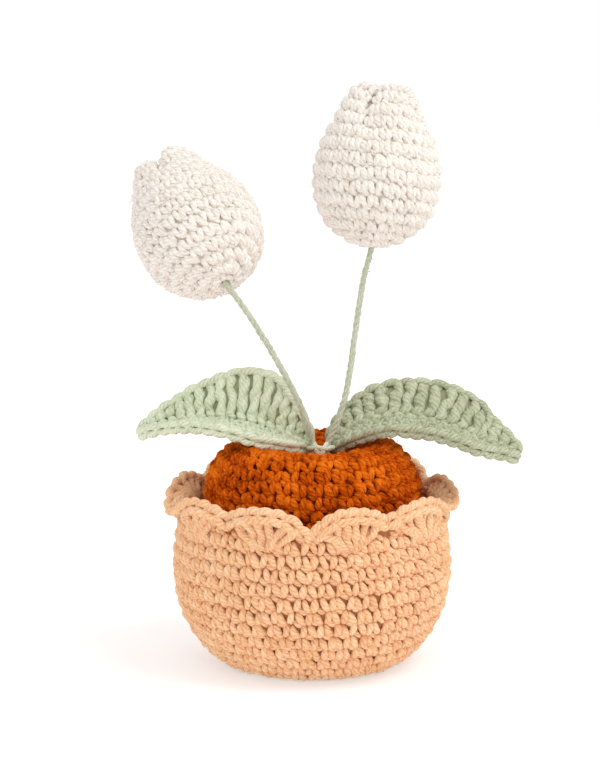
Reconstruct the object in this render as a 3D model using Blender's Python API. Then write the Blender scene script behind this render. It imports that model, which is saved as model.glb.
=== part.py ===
"""Crocheted potted tulip: a scalloped pot, a soil cushion, two leaves and two tulip heads on wired stems.

Lengths below are millimetres and are scaled to metres at the end. +Z is up, the origin is the centre of
the flat pot base, and the front of the plant faces -Y. Every surface is a stack of rings joined in order.
"""

import math

import bmesh
import bpy
import numpy as np

MM = 0.001
GAP = 0.3  # air left between neighbouring pieces
STITCH_RISE = 0.75  # height of a stitch's legs above the fabric

# Pot: a flat base disc, a rounded wall of crochet rounds and a rim of shells.
POT_STITCHES = 50
POT_ROUNDS = 10
POT_BASE_R = 19.0
POT_R = 37.2
POT_ROUND_Z = 28.0  # height at which the rounded base has become the wall
POT_RIM_Z = 42.0
POT_RIM_R = 35.4
POT_WALL = 2.6
POT_FLOOR = 2.6
POT_LEAN = 0.3  # stitches that a column moves sideways in one round
SHELL_VALLEYS = (-170, -129, -91, -57, -15, 25, 66, 108, 149)  # degrees from +X, uneven as in handwork
VALLEY_RISE, CREST_RISE = 4.2, 9.0  # above the last plain round
FRONT_VALLEY, FRONT_DIP = -91, 3.8  # the round of shells starts and ends here, in a deeper notch
VALLEY_FLARE, CREST_FLARE = 0.4, 4.0
SAG_SPOTS, SAG_SPREAD, SAG = (-4, 184), 20, 3.4  # degrees: the shells there have flopped outwards

# Soil cushion: a shallow dish above a full round edge, with one hole for the stems.
SOIL_STITCHES = 30
SOIL_PROFILE = (
    (4.8, 56.9), (7.0, 57.6), (10.0, 58.5), (14.0, 59.6), (18.0, 60.3), (21.0, 60.1),
    (23.8, 58.6), (26.3, 55.8), (28.1, 52.2), (29.0, 48.2), (29.0, 44.2), (28.4, 40.5), (27.6, 37.4),
)  # fmt: skip
SOIL_WALL = 2.4
HOLE_X, HOLE_Y = 2.4, -0.4
FILL_SHOULDER_Z = 36.6
WELL_R, WELL_Z = 5.0, 26.0

# Tulip heads: an egg of single crochet, pinched into four petal points at the top.
BLOOM_STITCHES = 24
BLOOM_PROFILE = (
    (1.6, 0.1), (4.2, 0.3), (7.6, 1.6), (10.6, 3.5), (13.3, 6.1), (15.3, 9.4), (16.6, 13.2), (17.1, 17.2),
    (17.0, 21.2), (16.1, 25.2), (14.7, 29.1), (12.9, 32.8), (11.2, 36.4), (9.4, 39.8), (7.6, 42.8),
)  # fmt: skip
BLOOM_CROWN = ((5.4, 44.6), (2.8, 43.6))
BLOOM_PIT_H = 41.2
BLOOM_WALL = 2.4
PETALS = 4
PETAL_DROP = 4.4
PETAL_START_H = 26.0

# Leaves: an oval of posts folded along its foundation chain.
LEAF_HALF_WIDTH = 11.8
LEAF_THICKNESS = 2.4
LEAF_POSTS = 15
LEAF_RIB = 0.35

# Stems: yarn wrapped round a wire.
STEM_LOW_R, STEM_HIGH_R = 1.1, 0.95
BORE_R, WIRE_R = 0.5, 0.32
STEM_SIDES, STEM_STEPS = 8, 19
WIRE_SIDES = 5
WRAP_RISE = 0.08

YARN = {
    "peach": (0.80, 0.42, 0.26),
    "rust": (0.45, 0.10, 0.02),
    "sage": (0.42, 0.52, 0.33),
    "cream": (0.86, 0.80, 0.74),
    "filling": (0.85, 0.85, 0.83),
    "steel": (0.55, 0.55, 0.56),
}


def clear_scene():
    for obj in list(bpy.data.objects):
        bpy.data.objects.remove(obj, do_unlink=True)


def material(name, metallic=0.0):
    made = bpy.data.materials.new(name)
    made.use_nodes = True
    shader = made.node_tree.nodes["Principled BSDF"]
    shader.inputs["Base Color"].default_value = (*YARN[name], 1.0)
    shader.inputs["Roughness"].default_value = 0.4 if metallic else 0.9
    shader.inputs["Metallic"].default_value = metallic
    return made


def strip(first_a, count_a, first_b, count_b):
    """Faces between two rings whose vertex counts are equal or a whole multiple of each other."""
    faces = []
    if count_a == 1 or count_b == 1:
        ring, count, pole = (first_b, count_b, first_a) if count_a == 1 else (first_a, count_a, first_b)
        for i in range(count):
            edge = (ring + i, ring + (i + 1) % count)
            faces.append((pole, edge[1], edge[0]) if count_a == 1 else (edge[0], edge[1], pole))
        return faces
    if count_a == count_b:
        for i in range(count_a):
            j = (i + 1) % count_a
            faces.append((first_a + i, first_a + j, first_b + j, first_b + i))
        return faces
    coarse_first = count_a < count_b
    fine, fine_count = (first_b, count_b) if coarse_first else (first_a, count_a)
    coarse, coarse_count = (first_a, count_a) if coarse_first else (first_b, count_b)
    ratio = fine_count // coarse_count
    for i in range(coarse_count):
        here, after = coarse + i, coarse + (i + 1) % coarse_count
        fan = [(here, fine + (i * ratio + k) % fine_count, fine + (i * ratio + k + 1) % fine_count)
               for k in range(ratio)]
        fan.append((here, fine + (i + 1) * ratio % fine_count, after))
        faces += [face[::-1] if coarse_first else face for face in fan]
    return faces


def solid(name, rings, look, closed_tube=False):
    """One closed body from rings. A ring of one point is a pole; a closed tube joins its last ring to its first."""
    rings = [np.atleast_2d(ring) for ring in rings]
    starts = np.cumsum([0] + [len(ring) for ring in rings])
    faces = []
    last = len(rings) if closed_tube else len(rings) - 1
    for k in range(last):
        a, b = k, (k + 1) % len(rings)
        faces += strip(starts[a], len(rings[a]), starts[b], len(rings[b]))
    mesh = bpy.data.meshes.new(name)
    mesh.from_pydata((np.concatenate(rings) * MM).tolist(), [], [tuple(map(int, f)) for f in faces])
    work = bmesh.new()
    work.from_mesh(mesh)
    bmesh.ops.recalc_face_normals(work, faces=work.faces)
    bmesh.ops.triangulate(work, faces=work.faces)
    work.to_mesh(mesh)
    work.free()
    mesh.materials.append(look)
    mesh.shade_smooth()
    obj = bpy.data.objects.new(name, mesh)
    bpy.context.scene.collection.objects.link(obj)
    return obj


def stitch(column, row):
    """Height of the single-crochet pattern, in stitches: a pit at each V's tip, high legs on both sides."""
    across = 0.5 - 0.5 * math.cos(2 * math.pi * column)
    up = 0.5 + 0.5 * math.cos(2 * math.pi * row)
    return across * (0.35 + 0.65 * up) - 0.9 * up * (1 - across)


def ring(radius, height, count, phase=0.0):
    """A level ring; radius and height are numbers or one value for each vertex."""
    angle = phase + 2 * np.pi * np.arange(count) / count
    radius = np.broadcast_to(radius, count)
    return np.stack([radius * np.cos(angle), radius * np.sin(angle), np.broadcast_to(height, count)], 1)


def along(points, count):
    """Evenly spaced points of the smooth curve through the given ones."""
    points = np.asarray(points, float)
    padded = np.vstack([2 * points[0] - points[1], points, 2 * points[-1] - points[-2]])
    fine = []
    for k in range(len(points) - 1):
        p0, p1, p2, p3 = padded[k : k + 4]
        for t in np.linspace(0, 1, 24, endpoint=False):
            fine.append(0.5 * (2 * p1 + (p2 - p0) * t + (2 * p0 - 5 * p1 + 4 * p2 - p3) * t**2
                               + (3 * p1 - p0 - 3 * p2 + p3) * t**3))
    fine = np.array(fine + [points[-1]])
    length = np.concatenate([[0], np.cumsum(np.linalg.norm(np.diff(fine, axis=0), axis=1))])
    wanted = np.linspace(0, length[-1], count)
    return np.stack([np.interp(wanted, length, fine[:, i]) for i in range(fine.shape[1])], 1)


def offset_profile(profile, distance):
    """The (radius, height) profile moved by distance to its right-hand side, square to its own direction."""
    points = np.asarray(profile, float)
    way = np.gradient(points, axis=0)
    way /= np.linalg.norm(way, axis=1, keepdims=True)
    return points + distance * np.stack([way[:, 1], -way[:, 0]], 1)


def pot_profile(count):
    """(radius, height) of the pot's outside from the edge of the flat base to the foot of the shells."""
    turn = np.linspace(0, math.pi / 2, 40)
    radius = POT_BASE_R + (POT_R - POT_BASE_R) * np.sin(turn) ** 1.18
    height = POT_ROUND_Z * (1 - np.cos(turn) ** 0.95)
    rise = np.linspace(0.25, 1, 8)
    radius = np.concatenate([radius, POT_R - (POT_R - POT_RIM_R) * rise**1.6])
    height = np.concatenate([height, POT_ROUND_Z + (POT_RIM_Z - POT_ROUND_Z) * rise])
    return along(np.stack([radius, height], 1), count)


def pot_inside(extra):
    """(radius, height) of the pot's cavity from the floor up, drawn in by a further distance."""
    profile = offset_profile(pot_profile(9), -POT_WALL - extra)
    profile = profile[profile[:, 1] > POT_FLOOR + extra + 0.8]
    return np.vstack([[profile[0, 0] - 3.2, POT_FLOOR + extra], profile])


def shell_wave(angle):
    """0 in the valley between two shells and 1 at the middle of one."""
    turn = (np.degrees(angle) - SHELL_VALLEYS[0]) % 360
    marks = np.append(np.array(SHELL_VALLEYS) - SHELL_VALLEYS[0], 360)
    shell = np.searchsorted(marks, turn, side="right") - 1
    share = (turn - marks[shell]) / (marks[shell + 1] - marks[shell])
    return np.sin(math.pi * share) ** 0.6


def shell_edge(angle):
    """(rise, flare) of the scalloped edge above and outside the last plain round."""
    wave = shell_wave(angle)
    from_front = (np.degrees(angle) - FRONT_VALLEY + 180) % 360 - 180
    rise = VALLEY_RISE + (CREST_RISE - VALLEY_RISE) * wave - FRONT_DIP * np.exp(-((from_front / 7) ** 2))
    flare = VALLEY_FLARE + (CREST_FLARE - VALLEY_FLARE) * wave
    for spot in SAG_SPOTS:
        away = (np.degrees(angle) - spot + 180) % 360 - 180
        sag = SAG * np.exp(-((away / SAG_SPREAD) ** 2))
        rise, flare = rise - sag * wave, flare + 0.25 * sag
    return rise, flare


def pot(look):
    columns = 2 * POT_STITCHES
    profile = pot_profile(2 * POT_ROUNDS + 1)
    outward = offset_profile(profile, 1.0) - profile
    step = 2 * math.pi / POT_STITCHES
    rings = [np.zeros((1, 3)), ring(POT_BASE_R - 1.5, 0.0, columns // 2)]
    phase = 0.0
    for k, ((radius, height), normal) in enumerate(zip(profile, outward)):
        phase = POT_LEAN * step * k / 2
        relief = np.array([STITCH_RISE * stitch(i / 2, k / 2) for i in range(columns)]) * min(1, k / 2)
        rings.append(ring(radius + normal[0] * relief, np.maximum(height + normal[1] * relief, 0), columns, phase))
    angle = phase + 2 * np.pi * np.arange(columns) / columns
    rise, flare = shell_edge(angle)
    post = 0.35 * np.cos(np.pi * np.arange(columns))
    for share in (0.3, 0.6, 0.85, 1.0):
        rings.append(ring(POT_RIM_R + flare * share**1.4 + post, POT_RIM_Z + rise * share, columns, phase))
    rings.append(ring(POT_RIM_R + flare - POT_WALL / 2, POT_RIM_Z + rise + 0.5, columns, phase))
    for share in (0.85, 0.5):
        made = ring(POT_RIM_R + flare * share**1.4 - POT_WALL, POT_RIM_Z + rise * share, columns, phase)
        rings.append(made[::2])
    for radius, height in pot_inside(0.0)[::-1]:
        rings.append(ring(radius, height, POT_STITCHES // 2, phase))
    rings.append(np.array([[0, 0, POT_FLOOR]]))
    return solid("pot", rings, look)


def towards_hole(points):
    """Moves a ring sideways so that the middle of the dish lies over the stems."""
    reach = np.linalg.norm(points[:, :2], axis=1)
    share = np.clip(1 - (reach / 27.0) ** 2, 0, 1)[:, None]
    return points + share * np.array([[HOLE_X, HOLE_Y, 0]])


def soil(look):
    columns = 2 * SOIL_STITCHES
    profile = along(SOIL_PROFILE, 17)
    outward = offset_profile(profile, -1.0) - profile
    rings = []
    for k, ((radius, height), normal) in enumerate(zip(profile, outward)):
        edge = k in (0, len(profile) - 1)
        relief = np.array([0.0 if edge else STITCH_RISE * stitch(i / 2, k / 2) for i in range(columns)])
        rings.append(towards_hole(ring(radius + normal[0] * relief, height + normal[1] * relief, columns)))
    inner = offset_profile(along(SOIL_PROFILE, 9), SOIL_WALL)
    for radius, height in inner[::-1]:
        rings.append(towards_hole(ring(radius, height, SOIL_STITCHES)))
    return solid("soil", rings, look, closed_tube=True)


def pot_filling(look):
    sides = 20
    wall = [(radius, height) for radius, height in pot_inside(GAP + 0.35) if height < FILL_SHOULDER_Z - 1]
    dome = offset_profile(along(SOIL_PROFILE, 9), SOIL_WALL + GAP + 0.25)
    dome = [(radius, height) for radius, height in dome[::-1] if FILL_SHOULDER_Z + 1 < height and radius > WELL_R + 0.3]
    rings = [np.array([[0, 0, wall[0][1]]])] + [ring(radius, height, sides) for radius, height in wall]
    rings += [ring(wall[-1][0] - 0.6, FILL_SHOULDER_Z, sides), ring(dome[0][0], FILL_SHOULDER_Z, sides)]
    rings += [towards_hole(ring(radius, height, sides)) for radius, height in dome]
    middle = np.array([[HOLE_X, HOLE_Y, 0]])
    rings += [ring(WELL_R, dome[-1][1] - 0.2, sides) + middle, ring(WELL_R, WELL_Z, sides) + middle,
              middle + [[0, 0, WELL_Z]]]
    return solid("pot_filling", rings, look)


def turned(points, pole, axis, spin):
    """Points of an upright piece moved onto an axis that starts at pole. Spin 0 turns its +X to the viewer."""
    axis = np.asarray(axis, float) / np.linalg.norm(axis)
    front = np.array([0, -1.0, 0])
    front -= axis * (front @ axis)
    front /= np.linalg.norm(front)
    side = np.cross(axis, front)
    cos, sin = math.cos(spin), math.sin(spin)
    return points @ np.stack([cos * front + sin * side, cos * side - sin * front, axis]) + np.asarray(pole)


def petalled(radius, height, count, phase):
    """A ring of the tulip head: round below, drawn in and dipped between the petals towards the top."""
    angle = phase + 2 * np.pi * np.arange(count) / count
    valley = (1 - np.abs(np.cos(PETALS / 2 * angle))) ** 1.3
    rise = np.clip((height - PETAL_START_H) / (BLOOM_CROWN[0][1] - PETAL_START_H), 0, 1) ** 2
    made = ring(radius * (1 - 0.42 * rise * valley), height - PETAL_DROP * rise * valley, count, phase)
    return made


def bloom(name, look, pole, axis, spin):
    columns = 2 * BLOOM_STITCHES
    profile = np.array(BLOOM_PROFILE)
    fine = along(profile, 24)
    outward = offset_profile(fine, 1.0) - fine
    rings = []
    inner = offset_profile(along(profile, 8), -BLOOM_WALL)
    inner = inner[(inner[:, 1] > BLOOM_WALL - 0.4) & (inner[:, 0] > 2)]
    rings.append(np.array([[0, 0, BLOOM_PIT_H - BLOOM_WALL - 2.5]]))
    rings += [petalled(radius, height, BLOOM_STITCHES, 0.0) for radius, height in inner[::-1]]
    rings.append(ring(BLOOM_PROFILE[0][0], BLOOM_WALL, BLOOM_STITCHES))
    for k, ((radius, height), normal) in enumerate(zip(fine, outward)):
        coarse = k < 3
        count = BLOOM_STITCHES if coarse else columns
        relief = np.array([0.0 if coarse else STITCH_RISE * stitch(i / 2, k / 2) for i in range(count)])
        rings.append(petalled(radius, height, count, 0.0) + np.pad(
            ring(relief * normal[0], 0, count)[:, :2], ((0, 0), (0, 1))))
        rings[-1][:, 2] += relief * normal[1]
    rings += [petalled(radius, height, BLOOM_STITCHES, 0.0) for radius, height in BLOOM_CROWN]
    rings.append(np.array([[0, 0, BLOOM_PIT_H]]))
    rings = [turned(points, pole, axis, spin) for points in rings]
    return solid(name, rings, look)


def bloom_filling(name, look, pole, axis, spin):
    sides = 12
    inner = offset_profile(along(BLOOM_PROFILE, 8), -BLOOM_WALL - GAP - 0.5)
    inner = inner[(inner[:, 1] > BLOOM_WALL + GAP + 0.2) & (inner[:, 1] < 36) & (inner[:, 0] > 3.5)]
    channel_r, channel_end = STEM_HIGH_R + 0.6, 22.0
    rings = [np.array([[0, 0, channel_end]]), ring(channel_r, channel_end, sides),
             ring(channel_r, inner[0, 1] - 0.2, sides)]
    rings += [petalled(radius, height, sides, 0.0) for radius, height in inner]
    rings.append(np.array([[0, 0, inner[-1, 1] - 1.5]]))
    return solid(name, [turned(points, pole, axis, spin) for points in rings], look)


def leaf(name, look, fold, back, near_angle, far_angle, widths):
    """A folded oval. Back points away from the viewer. The angles run from base to tip: the near half hangs
    below the level and the far half stands above it. Widths are shares of the widest half, from base to tip."""
    sections = 2 * LEAF_POSTS + 1
    middle = along(fold, sections)
    shape = along(np.stack([np.linspace(0, 1, len(widths)), widths], 1), 60)
    way = np.gradient(middle, axis=0)
    way /= np.linalg.norm(way, axis=1, keepdims=True)
    shares = (-1.0, -0.72, -0.4, 0.0, 0.34, 0.68, 1.0)
    rings = [middle[0]]
    for k in range(1, sections - 1):
        t = k / (sections - 1)
        level = np.asarray(back, float) - way[k] * (way[k] @ np.asarray(back, float))
        level /= np.linalg.norm(level)
        up = np.cross(way[k], level)
        up *= np.sign(up[2])
        near, far = (math.radians(a + (b - a) * t) for a, b in (near_angle, far_angle))
        arms = {-1: math.cos(near) * level + math.sin(near) * up, 1: math.cos(far) * level + math.sin(far) * up}
        half = LEAF_HALF_WIDTH * np.interp(t, shape[:, 0], shape[:, 1])
        rib = LEAF_RIB * math.cos(math.pi * k)
        top, bottom = [], []
        for share in shares:
            arm = arms[1 if share > 0 else -1]
            facing = np.cross(way[k], arm)
            facing *= np.sign(facing @ (up - 0.6 * level))
            if share == 0:
                facing = up * 0.8 - level * 0.6
            spot = middle[k] + half * share * arm
            thick = LEAF_THICKNESS / 2
            body = 0 < abs(share) < 1
            if abs(share) < 1:
                top.append(spot + facing * (thick + (rib if body else 0)))
                bottom.append(spot - facing * thick)
            else:
                top.append(spot + facing * 0.35 * thick)
                bottom.append(spot - facing * 0.35 * thick)
        rings.append(np.array(top + bottom[::-1]))
    rings.append(middle[-1])
    return solid(name, rings, look)


def tube_rings(path, radii, sides):
    """Rings square to a path, with one radius for each point and no twist between neighbours."""
    way = np.gradient(path, axis=0)
    way /= np.linalg.norm(way, axis=1, keepdims=True)
    side = np.cross(way[0], [0, 1.0, 0])
    rings = []
    angle = 2 * np.pi * np.arange(sides) / sides
    for spot, forward, radius in zip(path, way, radii):
        side = side - forward * (side @ forward)
        side /= np.linalg.norm(side)
        other = np.cross(forward, side)
        radius = np.broadcast_to(radius, sides)[:, None]
        rings.append(spot + radius * (np.cos(angle)[:, None] * side + np.sin(angle)[:, None] * other))
    return rings


def stem(side_name, points, yarn, steel):
    path = along(points, STEM_STEPS)
    wraps = np.arange(STEM_STEPS)[:, None] / 2 + 2 * np.arange(STEM_SIDES)[None] / STEM_SIDES
    taper = np.linspace(STEM_LOW_R, STEM_HIGH_R, STEM_STEPS)[:, None]
    outer = tube_rings(path, taper + WRAP_RISE * np.cos(2 * np.pi * wraps), STEM_SIDES)
    bore = tube_rings(path, np.full(STEM_STEPS, BORE_R), STEM_SIDES)
    solid(f"stem_{side_name}", outer + bore[::-1], yarn, closed_tube=True)
    core = tube_rings(path, np.full(STEM_STEPS, WIRE_R), WIRE_SIDES)
    solid(f"wire_{side_name}", [path[0]] + core + [path[-1]], steel)


def main():
    clear_scene()
    peach, rust, sage, cream, filling = (material(n) for n in ("peach", "rust", "sage", "cream", "filling"))
    steel = material("steel", metallic=1.0)
    pot(peach)
    soil(rust)
    pot_filling(filling)

    left_pole, left_axis = np.array([-22.4, -7.0, 105.2]), np.array([-0.415, 0.535, 0.736])
    right_pole, right_axis = np.array([15.6, 0.0, 114.2]), np.array([0.07, 0.10, 0.99])
    for side_name, pole, axis, spin in (
        ("left", left_pole, left_axis, math.radians(45)),
        ("right", right_pole, right_axis, math.radians(20)),
    ):
        bloom(f"bloom_{side_name}", cream, pole, axis, spin)
        bloom_filling(f"bloom_filling_{side_name}", filling, pole, axis, spin)

    inside = 19.0
    stem("left", [(0.7, -1.2, 30.0), (0.7, -1.2, 52.0), (0.3, -1.8, 60.5), (-3.2, -4.0, 71.5), (-8.3, -6.4, 82.0),
                  (-13.6, -8.6, 91.5), (-18.2, -9.2, 98.8), tuple(left_pole), tuple(left_pole + 8 * left_axis),
                  tuple(left_pole + inside * left_axis)], sage, steel)
    stem("right", [(4.0, -1.2, 30.0), (4.0, -1.2, 52.0), (4.2, -1.6, 60.0), (7.6, -1.8, 69.0), (9.8, -1.6, 78.0),
                   (12.0, -1.2, 94.0), (13.9, -0.7, 106.0), tuple(right_pole), tuple(right_pole + 8 * right_axis),
                   tuple(right_pole + inside * right_axis)], sage, steel)
    leaf("leaf_left", sage,
         [(-0.4, 2.8, 59.4), (-4.6, 2.8, 61.6), (-10.1, 3.0, 64.0), (-19.6, 4.0, 66.8), (-29.2, 6.0, 67.0),
          (-37.5, 8.0, 65.4), (-44.5, 9.4, 62.9), (-47.4, 10.2, 61.2)],
         back=(0.2, 1.0, 0.0), near_angle=(14.0, 2.0), far_angle=(100.0, 52.0),
         widths=(0.15, 0.82, 1.2, 1.12, 0.86, 0.64, 0.46, 0.22))
    leaf("leaf_right", sage,
         [(5.4, 2.8, 59.2), (7.8, 2.6, 61.8), (11.9, 2.4, 65.2), (17.0, 2.1, 67.7), (22.1, 1.8, 68.9), (31.6, 1.3, 68.0),
          (39.2, 0.9, 65.1), (44.9, 0.6, 61.8), (52.6, 0.2, 58.6), (56.0, 0.0, 56.6)],
         back=(0.0, 1.0, 0.0), near_angle=(14.0, 24.0), far_angle=(52.0, 58.0),
         widths=(0.15, 0.55, 0.8, 0.95, 1.0, 0.98, 0.85, 0.36))


main()
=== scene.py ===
"""Looks of the crocheted potted tulip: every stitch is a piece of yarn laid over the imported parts.

Lengths are millimetres until a mesh is made. A surface is a function of (angle, s): the angle about its own
axis and the distance s along its profile. The rim's surface takes a share of its height in place of s.
Stitches are given in shares of a stitch and of a round.
"""

import math

import bpy
import numpy as np
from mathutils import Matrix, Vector


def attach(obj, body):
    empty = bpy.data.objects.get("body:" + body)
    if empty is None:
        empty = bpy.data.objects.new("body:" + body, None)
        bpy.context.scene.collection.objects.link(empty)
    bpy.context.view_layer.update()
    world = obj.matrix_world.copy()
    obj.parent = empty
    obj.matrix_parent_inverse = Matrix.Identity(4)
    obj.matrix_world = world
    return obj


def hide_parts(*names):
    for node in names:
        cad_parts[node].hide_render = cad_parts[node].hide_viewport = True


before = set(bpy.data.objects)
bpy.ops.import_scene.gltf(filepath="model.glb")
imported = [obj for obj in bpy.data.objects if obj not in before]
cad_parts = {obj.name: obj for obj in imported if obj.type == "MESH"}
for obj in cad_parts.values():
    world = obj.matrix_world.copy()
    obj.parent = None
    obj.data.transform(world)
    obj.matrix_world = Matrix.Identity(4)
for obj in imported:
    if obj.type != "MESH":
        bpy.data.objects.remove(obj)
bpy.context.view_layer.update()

MM = 0.001
TAU = 2 * math.pi
rng = np.random.default_rng(11)

# The camera of the photograph, in millimetres and pixels of a 600 x 782 frame.
FRAME_H = 782
FOCAL_PX = 2590.0
CAMERA_PITCH = math.radians(9.3)
CAMERA_DISTANCE = 703.5
CAMERA_TARGET = (-3.3, 0.0, 74.9)

# Pot: the wall is the part's own; the scalloped edge is set closer to the photograph.
POT_BASE_R, POT_R, POT_ROUND_Z, POT_RIM_Z, POT_RIM_R = 19.0, 37.2, 28.0, 42.0, 35.4
SHELL_VALLEYS = np.array([-170, -129, -91, -57, -15, 25, 66, 108, 149, 190.0])  # degrees from +X
VALLEY_RISE, CREST_RISE = 1.9, 8.7  # height of the edge above the last plain round
BACK_RISE, FRONT_FALL = 3.0, 1.4  # how much higher the edge is behind, and how much lower in front
FRONT_VALLEY, FRONT_DIP, DIP_SPREAD = -91, 3.2, 7  # the round of shells starts and ends in a deeper notch
VALLEY_FLARE, CREST_FLARE = 0.4, 4.0  # how far the edge leans out
SAG_SPOTS, SAG_SPREAD = ((-8, 8.0), (187, 13.0)), 17  # degrees and fall of the two shells that droop
EDGE_SHARE = 0.78  # share of a shell's height at which the chain lies
WALL_PIECE_ROUNDS = 8  # rounds in the lower of the wall's two pieces
WALL_PROUD = 0.7  # how far the wall's stitches stand out of its profile

# Soil cushion: the part's own profile, and a narrow ledge of stitches from its foot to the pot.
SOIL_PROFILE = (
    (4.8, 56.9), (7.0, 57.6), (10.0, 58.5), (14.0, 59.6), (18.0, 60.3), (21.0, 60.1), (23.8, 58.6),
    (26.3, 55.8), (28.1, 52.2), (29.0, 48.2), (29.0, 44.2), (28.4, 40.5), (27.6, 37.4),
)
HOLE_X, HOLE_Y, HOLE_REACH = 2.4, -0.4, 27.0  # inside the reach the top is moved over to the hole
LEDGE_PROFILE = ((32.6, 38.3), (30.6, 38.3), (28.4, 39.0))
LEDGE_R, LEDGE_HEIGHTS = 33.2, (37.5, 38.1)  # of the plain body under the ledge's stitches

# Tulip heads: an egg, pinched into four lobes that close over the top.
BLOOM_PROFILE = (
    (1.6, 0.1), (4.2, 0.3), (7.6, 1.6), (10.6, 3.5), (13.3, 6.1), (15.3, 9.4), (16.6, 13.2), (17.1, 17.2),
    (17.0, 21.2), (16.1, 25.2), (14.7, 29.1), (13.0, 32.8), (11.6, 36.2), (10.2, 39.4), (8.6, 42.0),
    (6.0, 43.6), (3.2, 43.0), (1.2, 41.4), (0.3, 40.6),
)
PETALS, PETAL_DROP, PETAL_PINCH, PETAL_START_H, PETAL_TOP_H = 4, 3.6, 0.32, 26.0, 44.0

# Leaves: two halves that meet in a fold. The far half is the wider one and stands up.
LEAF_HALF_WIDTH, FAR_HALF, FOLD_SINK = 11.8, 1.16, 1.6
LEAF_STEPS = 61  # places along the fold
LEAF_EDGE_SHARE = 0.93  # share of a half's width at which its chain lies

# Stitches. Each leg and bump is a row of (share of a stitch, share of a round, millimetres outwards).
POT_STITCHES, SOIL_STITCHES, BLOOM_STITCHES = 50, 42, 30  # the most in a round
ROUND_H = 3.88
LEAN = 0.34  # share of a stitch that a column moves sideways in one round
PLY_PITCH = 4.2  # length in which a strand's two lobes turn once
WANDER = 0.22  # how far a round strays up and down
NUDGE, SHIFT, JUT = 0.035, 0.04, 0.09  # unevenness of a stitch: sideways, along the profile and outwards
FIBRE_WIDTH = 0.06
LEFT_LEG = (
    (-0.05, 0.06, -2.2), (-0.16, 0.25, -1.15), (-0.31, 0.5, -0.7), (-0.42, 0.76, -0.85), (-0.5, 0.98, -1.7),
)
RIGHT_LEG = (
    (0.07, 0.06, -2.2), (0.14, 0.27, -1.05), (0.19, 0.52, -0.65), (0.22, 0.78, -0.85), (0.22, 1.0, -1.7),
)
BUMP = (
    (-0.40, 1.38, -1.9), (-0.31, 1.26, -1.3), (-0.17, 1.12, -1.1), (-0.03, 1.0, -1.3), (0.08, 0.93, -1.9),
)
LEG_RADII = (0.5, 0.88, 1.04, 1.0, 0.6)
BUMP_RADII = (0.5, 0.8, 0.88, 0.8, 0.5)
STITCH_PARTS = ((LEFT_LEG, LEG_RADII, 8), (RIGHT_LEG, LEG_RADII, 8), (BUMP, BUMP_RADII, 6))


# Curves and surfaces


def catmull(points, count):
    """A smooth curve through points (..., k, c), sampled count times."""
    points = np.asarray(points, float)
    t = np.linspace(0, points.shape[-2] - 1, count)
    i = np.minimum(t.astype(int), points.shape[-2] - 2)
    f = (t - i)[:, None]
    before = 2 * points[..., :1, :] - points[..., 1:2, :]
    beyond = 2 * points[..., -1:, :] - points[..., -2:-1, :]
    padded = np.concatenate([before, points, beyond], axis=-2)
    p0, p1, p2, p3 = (padded[..., i + j, :] for j in range(4))
    square = 2 * p0 - 5 * p1 + 4 * p2 - p3
    cube = 3 * p1 - p0 - 3 * p2 + p3
    return 0.5 * (2 * p1 + (p2 - p0) * f + square * f**2 + cube * f**3)


def evenly(points, count):
    """The smooth curve through points (k, c), sampled at equal distances."""
    samples_a_point = 40
    fine = catmull(points, samples_a_point * len(points))
    length = np.concatenate([[0], np.cumsum(np.linalg.norm(np.diff(fine, axis=0), axis=1))])
    wanted = np.linspace(0, length[-1], count)
    return np.stack([np.interp(wanted, length, column) for column in fine.T], 1)


def unit(vectors):
    return vectors / np.maximum(np.linalg.norm(vectors, axis=-1, keepdims=True), 1e-9)


def path_length(points):
    return np.linalg.norm(np.diff(points, axis=0), axis=1).sum()


def lathe(profile, count=400):
    """(surface, place of s as (radius, height), arc length) of a profile turned about the Z axis."""
    points = evenly(profile, count)
    arc = path_length(points)
    marks = np.linspace(0, arc, count)
    slope_low = (points[1] - points[0]) * (count - 1) / arc
    slope_high = (points[-1] - points[-2]) * (count - 1) / arc

    def at(s):
        radius, height = (np.interp(s, marks, points[:, i]) for i in (0, 1))
        under, over = np.minimum(s, 0), np.maximum(s - arc, 0)
        radius = radius + under * slope_low[0] + over * slope_high[0]
        height = height + under * slope_low[1] + over * slope_high[1]
        return radius, height

    def surface(angle, s):
        radius, height = at(s)
        radius, height, angle = np.broadcast_arrays(radius, height, angle)
        return np.stack([radius * np.cos(angle), radius * np.sin(angle), height], -1)

    return surface, at, arc


def lift(surface, angle, s, outwards):
    """Points of a surface moved outwards, square to it."""
    here = surface(angle, s)
    across, along = surface(angle + 0.004, s) - here, surface(angle, s + 0.05) - here
    return here + np.asarray(outwards)[..., None] * unit(np.cross(across, along))


def ring_at(surface, angle, s, outwards):
    """One ring of a surface, moved outwards."""
    return lift(surface, angle, np.full(len(angle), s), np.full(len(angle), outwards))


# Meshes


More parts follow.
